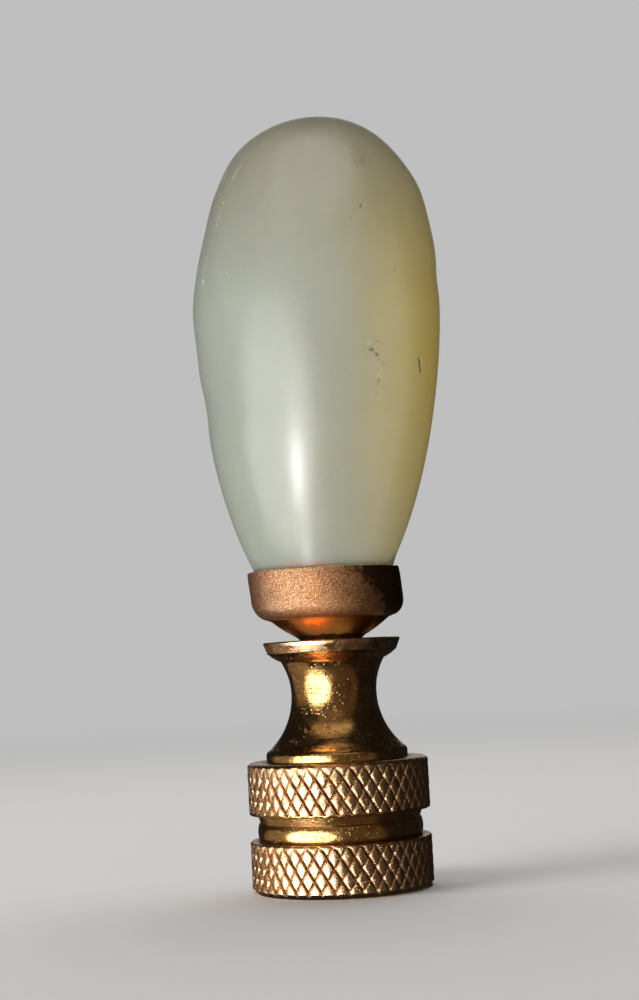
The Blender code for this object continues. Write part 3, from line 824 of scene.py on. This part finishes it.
def make_cup(material, foot):
    outer = cup_outline(foot, 18, 10)
    rim = outer[-1][1]
    inner = inset([(0.0, foot)] + outer, CUP_WALL)
    inner[-1] = (inner[-1][0], rim)
    knee = foot + CUP_DISH_RISE

    # Darker right side, slanting and ragged: painted shade on the side away from the key light,
    # together with a stain. Darker foot: painted shade against the flange.
    def stain(angle, z):
        side = wrap(angle) * 180 / pi
        right = smoothstep(8, 32, side + 8 * (z - rim) / MM) * (1 - smoothstep(95, 135, side))
        foot_ring = 1 - smoothstep(foot + 0.05 * MM, foot + 0.3 * MM, z)
        return max(right, foot_ring)

    def dented(angle, z):
        near_rim = smoothstep(rim - 0.9 * MM, rim, z)
        wobble = noise.noise(Vector((sin(angle) * 3, cos(angle) * 3, z * 900)))
        ragged = noise.noise(Vector((sin(angle) * 14, cos(angle) * 14, 5)))
        nick = min(0.0, noise.noise(Vector((sin(angle) * 40, cos(angle) * 40, 8))) + 0.12)
        return (0.02 * MM * wobble - 0.05 * MM * near_rim ** 2,
                near_rim * (0.07 * MM * ragged + 0.10 * MM * nick))

    skin = Skin(CUP_COLUMNS)
    # Under the cup, on the flange, the darkening is full: painted shade between the parts.
    skin.ring(0, foot - CUP_GAP, columns=CUP_COLUMNS // 2, grime=1.0, satin=1.0)
    skin.ring(CUP_FOOT_RADIUS - 0.3 * MM, foot - CUP_GAP, columns=CUP_COLUMNS // 2,
              grime=1.0, satin=1.0)
    ridge_made = False
    for r, z in split(outer, CUP_ROW_HEIGHT):
        if not ridge_made and z >= knee - 0.01 * MM:
            for out, down in CUP_RIDGE:
                skin.ring(r + out, knee - down, 0.0, dented)
            ridge_made = True
            continue
        skin.ring(r, z, cup_drift(foot, z), dented,
                  satin=smoothstep(knee - 0.1 * MM, knee + 0.25 * MM, z), grime=stain)
    skin.ring(CUP_RADIUS - 0.12 * MM, rim, cup_drift(foot, rim), dented, satin=1.0, grime=0.3)
    # Inside the cup, under the stone, the darkening is full: painted shade.
    for r, z in inner[:0:-1]:
        skin.ring(r, z, cup_drift(foot, z), satin=1.0, grime=1.0, columns=CUP_COLUMNS // 2)
    skin.ring(0, inner[0][1], columns=CUP_COLUMNS // 2, grime=1.0)
    skin.finish("metal_cup", [material], "stone_cup")
    return rim


def stone_wave(angle, z, widest):
    total = 0.0
    for side, height, swell, spread in STONE_WAVES:
        near = exp(2.0 * (cos(angle - radians(side)) - 1.0))
        off = ((z - widest) / STONE_RADIUS - height) / spread
        total += STONE_RADIUS * swell * near * exp(-off * off)
    return total


class Stone:
    """The stone's outline, with the CAD's own sizes."""

    def __init__(self, foot, rim):
        self.foot, self.rim = foot, rim
        self.seat = inset([(0.0, foot)] + cup_outline(foot), CUP_WALL + STONE_CLEARANCE)
        self.widest = rim + STONE_WAIST_RISE
        self.apex = self.widest + STONE_CROWN_RISE
        share = (1 - (self.seat[-1][0] / STONE_RADIUS) ** FLANK_POWER) ** (1 / FLANK_POWER)
        self.flank_drop = STONE_WAIST_RISE / share

    def lean(self, z):
        return cup_drift(self.foot, z) + tan(STONE_LEAN) * max(z - self.rim, 0.0)

    def radius(self, z):
        if z < self.widest:
            drop = (self.widest - z) / self.flank_drop
            return STONE_RADIUS * (1 - drop ** FLANK_POWER) ** (1 / FLANK_POWER)
        rise = min((z - self.widest) / STONE_CROWN_RISE, 1.0)
        return STONE_RADIUS * (1 - rise ** CROWN_POWER) ** (1 / CROWN_POWER)

    def point(self, side, z):
        angle = radians(side)
        r = self.radius(z) + stone_wave(angle, z, self.widest)
        return on_circle(r, angle, z, self.lean(z))


def make_stone(stone, materials):
    seat, rim = stone.seat, stone.rim
    skin = Skin(STONE_COLUMNS, ())

    dents = [(radians(side), height * MM, radius * MM) for kind, _, radius, points in STONE_MARKS
             if kind in ("pit", "chip_and_glint") for side, height in points]

    def uneven(angle, z):
        polish = 0.015 * MM * noise.noise(Vector((sin(angle) * 2.2, cos(angle) * 2.2, z * 180)))
        for side, height, radius in dents:
            away = hypot(wrap(angle - side) * stone.radius(height), z - height)
            away /= radius + DENT_MARGIN
            if away < 1:
                polish -= 0.5 * radius * (1 - away * away)
        return (stone_wave(angle, z, stone.widest) + polish, 0.0)

    skin.ring(0, seat[0][1])
    for r, z in seat[1:-1]:
        skin.ring(r, z, stone.lean(z), columns=STONE_COLUMNS // 2)
    skin.ring(seat[-1][0], rim, stone.lean(rim))
    for k in range(1, STONE_FLANK_ROWS + 1):
        z = rim + STONE_WAIST_RISE * k / STONE_FLANK_ROWS
        skin.ring(stone.radius(z), z, stone.lean(z), uneven)
    for k in range(1, STONE_CROWN_ROWS):
        z = stone.widest + STONE_CROWN_RISE * sin(pi / 2 * k / STONE_CROWN_ROWS)
        skin.ring(stone.radius(z), z, stone.lean(z), uneven)
    skin.ring(0, stone.apex, stone.lean(stone.apex))

    # cement that fills the gap between the stone and its cup
    stone_faces = len(skin.faces)
    skin.last = None
    cup_in = CUP_RADIUS - CUP_WALL + 0.02 * MM
    section = [(seat[-1][0] - 0.2 * MM, rim - 0.9 * MM), (cup_in, rim - 0.9 * MM),
               (cup_in, rim - 0.12 * MM), (cup_in - 0.12 * MM, rim + 0.02 * MM),
               (seat[-1][0] + 0.06 * MM, rim + 0.16 * MM),
               (seat[-1][0] - 0.1 * MM, rim + 0.2 * MM)]

    def smeared(angle, z):
        if z < rim - 0.2 * MM:
            return (0.0, 0.0)
        rise = 0.08 * MM * noise.noise(Vector((sin(angle) * 9, cos(angle) * 9, 2)))
        if z < rim + 0.1 * MM:
            return (0.0, rise)
        rise += 0.8 * MM * near_side(angle, 82, 10)
        return (stone.radius(max(z + rise, rim)) - seat[-1][0], rise)

    for r, z in section + section[:1]:
        skin.ring(r, z, stone.lean(rim), smeared, columns=STONE_COLUMNS // 2)
    skin.finish("jade_stone", materials, "jade_knob", second=stone_faces)


def make_floor():
    bpy.ops.mesh.primitive_circle_add(vertices=128, radius=FLOOR_RADIUS, fill_type="TRIFAN")
    ground = bpy.context.active_object
    ground.name = "floor"
    s = Shader("pale_floor")
    s.set(Base_Color=FLOOR_COLOUR, Roughness=0.9, Specular_IOR_Level=0.0)
    away = s.node("ShaderNodeVectorMath", {0: s.place}, operation="LENGTH").outputs["Value"]
    far = s.span(away, *FLOOR_FADE)
    glow = s.node("ShaderNodeEmission", {"Color": BACKDROP, "Strength": 1.0})
    lit = s.node("ShaderNodeMixShader", {0: far, 1: s.surface.outputs[0], 2: glow.outputs[0]})
    s.put(s.tree.nodes["Material Output"].inputs["Surface"], lit.outputs[0])
    ground.data.materials.append(s.material)
    ground.visible_glossy = False   # the metal mirrors dark surroundings, as in the photograph
    ground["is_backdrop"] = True
    return ground


def make_world():
    world = bpy.data.worlds.new("studio")
    bpy.context.scene.world = world
    world.use_nodes = True
    nodes, links = world.node_tree.nodes, world.node_tree.links
    dim = nodes["Background"]
    dim.inputs["Color"].default_value = (*SURROUNDINGS, 1.0)
    pale = nodes.new("ShaderNodeBackground")
    pale.inputs["Color"].default_value = (*BACKDROP, 1.0)
    seen = nodes.new("ShaderNodeMixShader")
    links.new(nodes.new("ShaderNodeLightPath").outputs["Is Camera Ray"], seen.inputs[0])
    links.new(dim.outputs[0], seen.inputs[1])
    links.new(pale.outputs[0], seen.inputs[2])
    links.new(seen.outputs[0], nodes["World Output"].inputs["Surface"])


def softbox(name, side, rise, distance, wide, tall, glow, lit, colour, aim, only):
    """An oval soft light at a side and a rise in degrees, wide and tall in degrees as seen
    from aim. Where lit is pieces of the object, only they receive it and shade each other,
    so it may stand lower than the floor. Glow is its brightness, whatever its size. Only can
    keep it to glossy or to diffuse light."""
    light = bpy.data.lights.new(name, "AREA")
    light.shape = "ELLIPSE"
    light.size = 2 * distance * tan(radians(wide) / 2)
    light.size_y = 2 * distance * tan(radians(tall) / 2)
    light.energy = glow * pi * pi / 4 * light.size * light.size_y
    light.color = colour
    item = bpy.data.objects.new(name, light)
    away = on_circle(distance * cos(radians(rise)), radians(side), distance * sin(radians(rise)))
    item.location = Vector(aim) + Vector(away)
    item.rotation_euler = (-Vector(away)).to_track_quat("-Z", "Y").to_euler()
    item.visible_camera = False
    item.visible_diffuse = only != "glossy"
    item.visible_glossy = only != "diffuse"
    bpy.context.collection.objects.link(item)
    group = bpy.data.collections.new(name + "_on")
    for piece in lit:
        group.objects.link(piece)
    item.light_linking.receiver_collection = group
    if not any(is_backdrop(piece) for piece in lit):
        item.light_linking.blocker_collection = group


def make_camera():
    c, s = cos(CAMERA_ROLL), sin(CAMERA_ROLL)
    cp, sp = cos(CAMERA_PITCH), sin(CAMERA_PITCH)
    x, y, z = CAMERA_PLACE
    data = bpy.data.cameras.new("camera")
    data.lens = CAMERA_LENS
    data.clip_start = 0.01
    data.clip_end = 50
    camera = bpy.data.objects.new("camera", data)
    camera.matrix_world = Matrix((
        (c, s, 0.0, x),
        (s * sp, -c * sp, -cp, y),
        (-s * cp, c * cp, -sp, z),
        (0, 0, 0, 1)))
    bpy.context.collection.objects.link(camera)
    bpy.context.scene.camera = camera


def main():
    scene = bpy.context.scene
    scene.view_settings.view_transform = "Standard"
    make_camera()
    make_world()
    flange_top = make_base(brass_material())
    foot = flange_top + CUP_GAP
    rim = make_cup(cup_material(), foot)
    stone = Stone(foot, rim)
    make_stone(stone, [jade_material(stone), cement_material()])
    ground = make_floor()
    pieces = [bpy.data.objects[n] for n in ("brass_base", "metal_cup", "jade_stone")]
    lit = {"metal": pieces[:2], "cup": pieces[1:2], "jade": pieces[2:], "pieces": pieces,
           "ground": [ground]}
    for name, side, rise, distance, wide, tall, glow, what, colour, height, only in LIGHTS:
        softbox(name, side, rise, distance, wide, tall, glow, lit[what], colour, (0, 0, height),
                only)


main()
